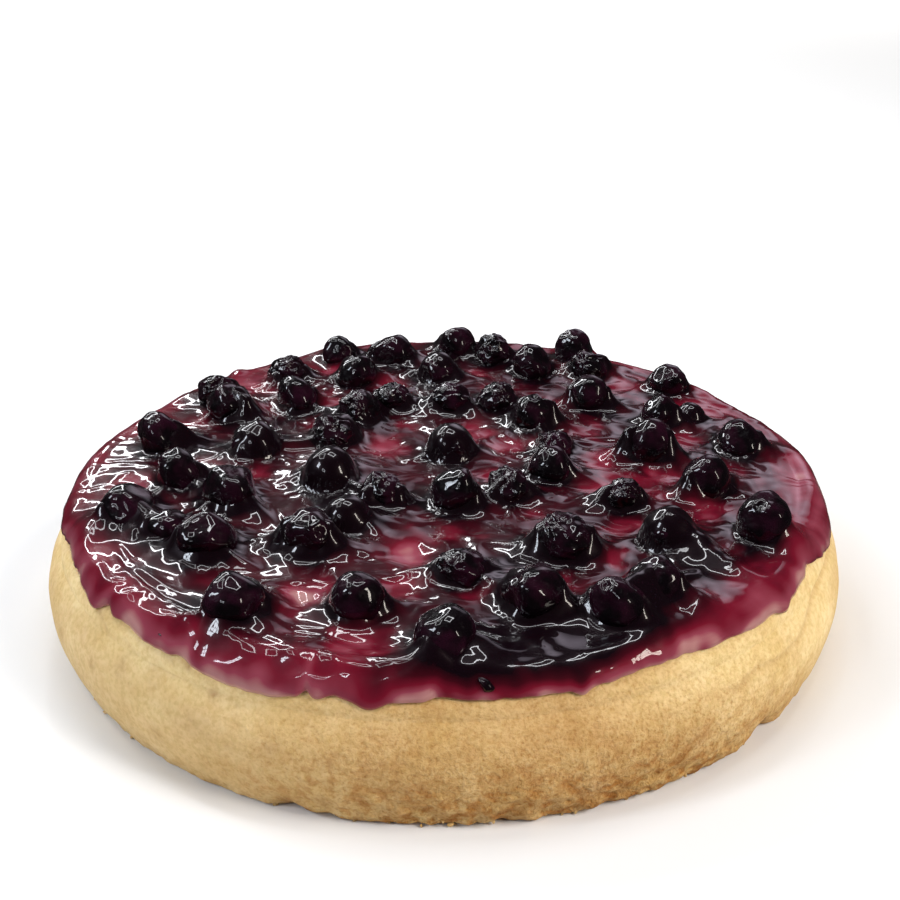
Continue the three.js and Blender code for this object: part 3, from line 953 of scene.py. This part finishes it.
def glaze_skin(sizes, cake, ring, angle):
    """Places of the glaze's mesh, and measures for its colour: ring is 0 in the middle, 1 at
    the lower edge, and above 1 under it."""
    top, width = millimetres(cake, "top_height", "shoulder_width")
    depth, lift = millimetres(sizes, "depth", "lift")
    degrees = np.degrees(angle)
    turn = SIDE_SPAN * joined(np.cos(angle), np.sin(angle))
    ragged = 3 * noise(turn, 7, 63) + 2.4 * noise(turn, 3.4, 64)
    end = sizes.reach + np.radians(swell(RUNS, degrees) + ragged)
    broad = sizes.reach + np.radians(swell([run for run in RUNS if run[1] >= 3], degrees))
    flat = float(shoulder(cake, 0.0)[0])
    arc = width * 0.96
    reach = flat + arc * end
    along = np.minimum(ring, 1) * reach
    phi = np.clip((along - flat) / arc, 0, None)
    unrolled = joined(along * np.cos(angle), along * np.sin(angle))
    rise, near = glaze_rise(unrolled[:, 0], unrolled[:, 1], top + lift + depth, sizes)
    slope = smoothed(0, 1, phi / np.maximum(broad, 0.1))
    thick = (depth + rise * (1 - 0.6 * slope)) * (1 - 0.6 * slope)
    thick += slope * (0.2 * noise(unrolled, 6, 61) + 0.07 * noise(unrolled, 2.9, 62))
    bead = np.clip((reach - along) / 2.4, 0, 1)
    thick = np.maximum(thick, 0.2) * np.sqrt(np.clip(1 - (1 - bead) ** 2, 0, 1))
    bulge = swell(BULGES, degrees) * np.sin(math.pi * np.clip(phi / np.maximum(broad, 0.1), 0, 1))
    radius, height = shoulder(cake, phi, lift + thick + bulge)
    radius = np.where(phi <= 0, along, radius)
    height = np.where(phi <= 0, top + lift + thick, height)
    # under the edge the skin turns in below the glaze
    inner = shoulder(cake, np.maximum(end * (1 - (ring - 1) * 8), 0), lift)
    radius = np.where(ring > 1, inner[0], radius)
    height = np.where(ring > 1, inner[1], height)
    stretch = outline(angle, height, top)
    places = joined(radius * stretch * np.cos(angle), radius * stretch * np.sin(angle), height)
    return places, unrolled, rise, near, reach - along


def gel_depth_and_painted_light(flat, rise, near, from_edge):
    """How deep the colour of the glaze is, from 0 (thin and milky) to 1 (nearly black), with painted shade
    round the berries and a painted reflection as a lighter band along part of the rim.
    """
    x, y = flat[:, 0], flat[:, 1]
    degrees = np.degrees(np.arctan2(y, x))
    # darker near the berries: partly the deeper gel and the dark berry under it, partly painted shade round
    # and between them
    value = 0.6 + 0.42 * near + 0.05 * np.clip(rise, -1, 5)
    value += 0.16 * noise(flat, 22, 31) + 0.12 * noise(warped(flat, 12, 5, 33), 6, 32)
    value -= 0.62 * thin_places(x, y)
    # streaks, strongest on the calm right side, that run along the rim where they are near it
    inner = streaks_along(0.28 * (0.8 * x - 0.6 * y), 0.6 * x + 0.8 * y)
    streaks = inner + (rim_streaks(x, y) - inner) * smoothed(78, 92, np.hypot(x, y))
    streaks *= 0.1 + 0.14 * smoothed(20, 60, x)
    for at_x, at_y, half, amount in DEEP_PLACES:
        value += amount * bell(np.hypot(x - at_x, y - at_y), half)
    band = 3.6 + swell(RIM_BANDS, degrees)
    rim = bell(from_edge, band)
    patches = 0.26 * noise(warped(flat, 8, 4, 36), 9, 37) + 0.05 * noise(flat, 4.2, 34)
    value = value * (1 - rim) + rim * (0.25 + patches) + streaks
    # milky where the rim thins out over the pale crumb, and lighter in a band along part of the rim as a
    # painted reflection of bright surroundings
    milk_and_sheen = np.clip(smoothed(-0.2, 0.5, noise(flat, 11, 38)) + swell(MILKY_RIM_AND_SHEEN, degrees), 0, 1)
    return value - 0.26 * milk_and_sheen * bell(from_edge, 3.2)


def disc_from_square(u, v):
    """Rings of a square grid become rings of a disc: (ring from 0 to 1, angle)."""
    ring = np.maximum(np.abs(u), np.abs(v))
    safe = np.maximum(ring, 1e-9)
    angle = np.where(
        np.abs(u) >= np.abs(v),
        math.pi / 4 * v / safe * np.sign(u) + np.where(u < 0, math.pi, 0.0),
        math.pi / 2 * np.sign(v) - math.pi / 4 * u / safe * np.sign(v))
    return ring, angle


class CAKE_OT_glaze(bpy.types.Operator):
    """Make the fruit glaze: one closed skin that climbs the berries and runs over the shoulder"""

    bl_idname = "cake.glaze"
    bl_label = "Glaze"

    def execute(self, context):
        sizes, cake = context.scene.glaze_sizes, context.scene.cake_sizes
        form = bmesh.new()
        bmesh.ops.create_grid(form, x_segments=2 * sizes.rings, y_segments=2 * sizes.rings, size=MM)
        rim = [edge for edge in form.edges if edge.is_boundary]
        bmesh.ops.holes_fill(form, edges=rim, sides=0)
        bmesh.ops.recalc_face_normals(form, faces=form.faces)
        piece = finish_piece("fruit_glaze_skin", form, "fruit_glaze", ("glaze",))
        square = vertex_places(piece)
        ring, angle = disc_from_square(square[:, 0], square[:, 1])
        places, *measures = glaze_skin(sizes, cake, ring * UNDER_EDGE, angle)
        place_vertices(piece, places)
        set_attribute(piece, "gel_depth_and_painted_light", gel_depth_and_painted_light(*measures))
        return {"FINISHED"}


class CAKE_OT_scraps(bpy.types.Operator):
    """Make the scraps of berry skin on the glaze's rim"""

    bl_idname = "cake.scraps"
    bl_label = "Skin scraps"

    def execute(self, context):
        cake = context.scene.cake_sizes
        depth, lift = millimetres(context.scene.glaze_sizes, "depth", "lift")
        draw = np.random.default_rng(SCRAP_SEED)
        form = bmesh.new()
        for degrees, slope, length in SCRAPS:
            thick = depth * (1 - 0.6 * float(smoothed(0, 53, slope)))
            radius, height = shoulder(cake, math.radians(slope), lift + thick - 0.1 * length)
            angle = math.radians(degrees)
            radius *= float(outline(angle, height, height))
            turn = (math.radians(-25), math.radians(18), angle + 1.2)
            made = bmesh.ops.create_icosphere(form, subdivisions=4, radius=1.0)["verts"]
            ways = np.array([vert.co[:] for vert in made])
            sizes = flattened(ways, draw, 5, 0.3, 0.6, 30) + 0.04 * noise(ways, 0.5, 70)
            for vert, size in zip(made, sizes * length * 0.75 * MM):
                vert.co *= size
            where = set_on(radius, height, angle, turn, (1.25, 0.9, 0.7))
            bmesh.ops.transform(form, verts=made, matrix=where)
        finish_piece("skin_scraps", form, "berry_skin")
        return {"FINISHED"}


# ---------- the stage


def facing(place, aim=(0, 0, 0)):
    """A matrix that puts a light at a place, turned towards a point."""
    turn = (Vector(aim) - Vector(place)).to_track_quat("-Z", "Y").to_matrix().to_4x4()
    return Matrix.Translation(place) @ turn


def new_light(name, kind, where, tint):
    """A light of a kind and colour, put where a matrix says."""
    lamp = add_object(name, bpy.data.lights.new(name, kind))
    lamp.data.color = tint
    lamp.matrix_world = where
    return lamp


def panel_light(name, where, size, glow, tint=WHITE, spread=180):
    """A rectangular soft light: glow is how bright its middle is when a wet surface mirrors
    it, and a spread under 180 degrees gives the reflection soft edges."""
    light = new_light(name, "AREA", where, tint).data
    light.shape = "RECTANGLE"
    light.size, light.size_y = size
    light.spread = math.radians(spread)
    half = math.radians(spread) / 2
    light.energy = glow * math.pi * size[0] * size[1] * (1 - half / math.tan(half))


def frame_light(name, place, width, height, bar, glow, tint=DAYLIGHT):
    """Four narrow bars in a rectangle, which a wet surface mirrors as bright loops."""
    where = facing(place)
    for side in (-1, 1):
        level = where @ Matrix.Translation((0, side * height / 2, 0))
        upright = where @ Matrix.Translation((side * width / 2, 0, 0))
        panel_light(f"{name}_level", level, (width, bar), glow, tint)
        panel_light(f"{name}_upright", upright, (bar, height), glow, tint)


def window_light(name, place, pane, counts, glow, tint):
    """Columns and rows of small panes with gaps between them, mirrored as a barred window."""
    where = facing(place)
    for column, row in itertools.product(range(counts[0]), range(counts[1])):
        across = (column - (counts[0] - 1) / 2) * pane[0] * PANE_STEP
        up = (row - (counts[1] - 1) / 2) * pane[1] * PANE_STEP
        panel_light(f"{name}_pane", where @ Matrix.Translation((across, up, 0)), pane, glow, tint)


class CAKE_OT_stage(bpy.types.Operator):
    """Make the pale floor, the soft lights and the camera"""

    bl_idname = "cake.stage"
    bl_label = "Stage"

    def execute(self, context):
        scene = context.scene
        scene.view_settings.view_transform = "Standard"
        form = bmesh.new()
        bmesh.ops.create_circle(form, cap_ends=True, segments=64, radius=6.0)
        floor = add_mesh("floor", form, "pale_floor")
        floor.visible_glossy = False

        camera = add_object("camera", bpy.data.cameras.new("camera"))
        camera.data.lens = CAMERA_LENS
        camera.data.sensor_width = 36
        elevation = math.radians(CAMERA_ELEVATION)
        back, up = CAMERA_DISTANCE * math.cos(elevation), CAMERA_DISTANCE * math.sin(elevation)
        camera.location = (0, -back, up)
        tilt = math.radians(90 - CAMERA_ELEVATION + CAMERA_TILT)
        camera.rotation_euler = (tilt, 0, math.radians(CAMERA_TURN))
        camera.data.clip_start = 0.02
        scene.camera = camera

        world = bpy.data.worlds.new("studio")
        scene.world = world
        world.use_nodes = True
        background = world.node_tree.nodes["Background"]
        background.inputs["Color"].default_value = (1, 1, 1, 1)
        # the camera sees a pale room all round, while the wet fruit mirrors a dark one
        path = world.node_tree.nodes.new("ShaderNodeLightPath")
        seen = math_node(world.node_tree, "MULTIPLY", path.outputs["Is Camera Ray"], ROOM_SEEN)
        glow = math_node(world.node_tree, "MAXIMUM", seen, ROOM_MIRRORED)
        world.node_tree.links.new(glow, background.inputs["Strength"])
        for name, place, energy, tint in (
                ("cool_key", (-0.85, -0.5, 0.8), 0.64, (0.93, 0.96, 1.0)),
                ("warm_key", (0.99, -0.34, 0.85), 2.4, (1.0, 0.96, 0.92))):
            lamp = new_light(name, "SUN", facing(place), tint)
            lamp.data.energy = energy
            lamp.data.angle = math.radians(SUN_WIDTH)
            lamp.visible_glossy = False
        frame_light("window", (-0.55, 0.75, 0.75), 0.7, 0.5, 0.046, 24)
        frame_light("lamp", (0.1, 0.2, 1.2), 0.5, 0.35, 0.038, 20)
        frame_light("left_lamp", (-0.5, 0.12, 1.0), 0.4, 0.3, 0.026, 12)
        window_light("sky", (-0.9, -0.35, 0.8), (0.09, 0.1), (2, 3), 21, (0.82, 0.9, 1.0))
        frame_light("sky_low", (-0.55, -0.9, 0.8), 0.26, 0.16, 0.016, 26, (0.88, 0.93, 1.0))
        window_light("warm", (0.9, -0.6, 0.6), (0.045, 0.1), (2, 4), 19, (1.0, 0.93, 0.83))
        panel_light("back_floor", facing((0, 2.0, 1.0), (0, 2.0, 0)), (3.0, 1.4), 3.2, spread=100)
        haze = facing((0.42, 1.32, 0.74), (0, 0, 0.04))
        panel_light("haze", haze, (1.0, 0.8), 1.75, (0.95, 0.84, 1.0), spread=40)
        return {"FINISHED"}


# ---------- panel and registration


class CAKE_PT_panel(bpy.types.Panel):
    """Sizes, colours and the steps that make the cake."""

    bl_idname = "CAKE_PT_panel"
    bl_label = "Blueberry cake"
    bl_space_type = "VIEW_3D"
    bl_region_type = "UI"
    bl_category = "Cake"

    def draw(self, context):
        layout = self.layout
        for attribute_name, _ in GROUPS:
            group = getattr(context.scene, attribute_name)
            box = layout.box()
            for name in group.__annotations__:
                box.prop(group, name)
        for step in STEPS:
            layout.operator(step.bl_idname)


GROUPS = (
    ("cake_sizes", CakeSizes),
    ("glaze_sizes", GlazeSizes),
    ("fruit_sizes", FruitSizes),
    ("cake_colours", CakeColours),
)
STEPS = (CAKE_OT_stage, CAKE_OT_body, CAKE_OT_crumbs, CAKE_OT_glaze, CAKE_OT_berries, CAKE_OT_scraps)


def register():
    for name, group in GROUPS:
        bpy.utils.register_class(group)
        setattr(bpy.types.Scene, name, PointerProperty(type=group))
    for step in STEPS:
        bpy.utils.register_class(step)
    bpy.utils.register_class(CAKE_PT_panel)


def unregister():
    bpy.utils.unregister_class(CAKE_PT_panel)
    for step in reversed(STEPS):
        bpy.utils.unregister_class(step)
    for name, group in reversed(GROUPS):
        delattr(bpy.types.Scene, name)
        bpy.utils.unregister_class(group)


def main():
    register()
    bpy.ops.cake.stage()
    bpy.ops.cake.body()
    bpy.ops.cake.crumbs()
    bpy.ops.cake.glaze()
    bpy.ops.cake.berries()
    bpy.ops.cake.scraps()


if __name__ == "__main__":
    main()
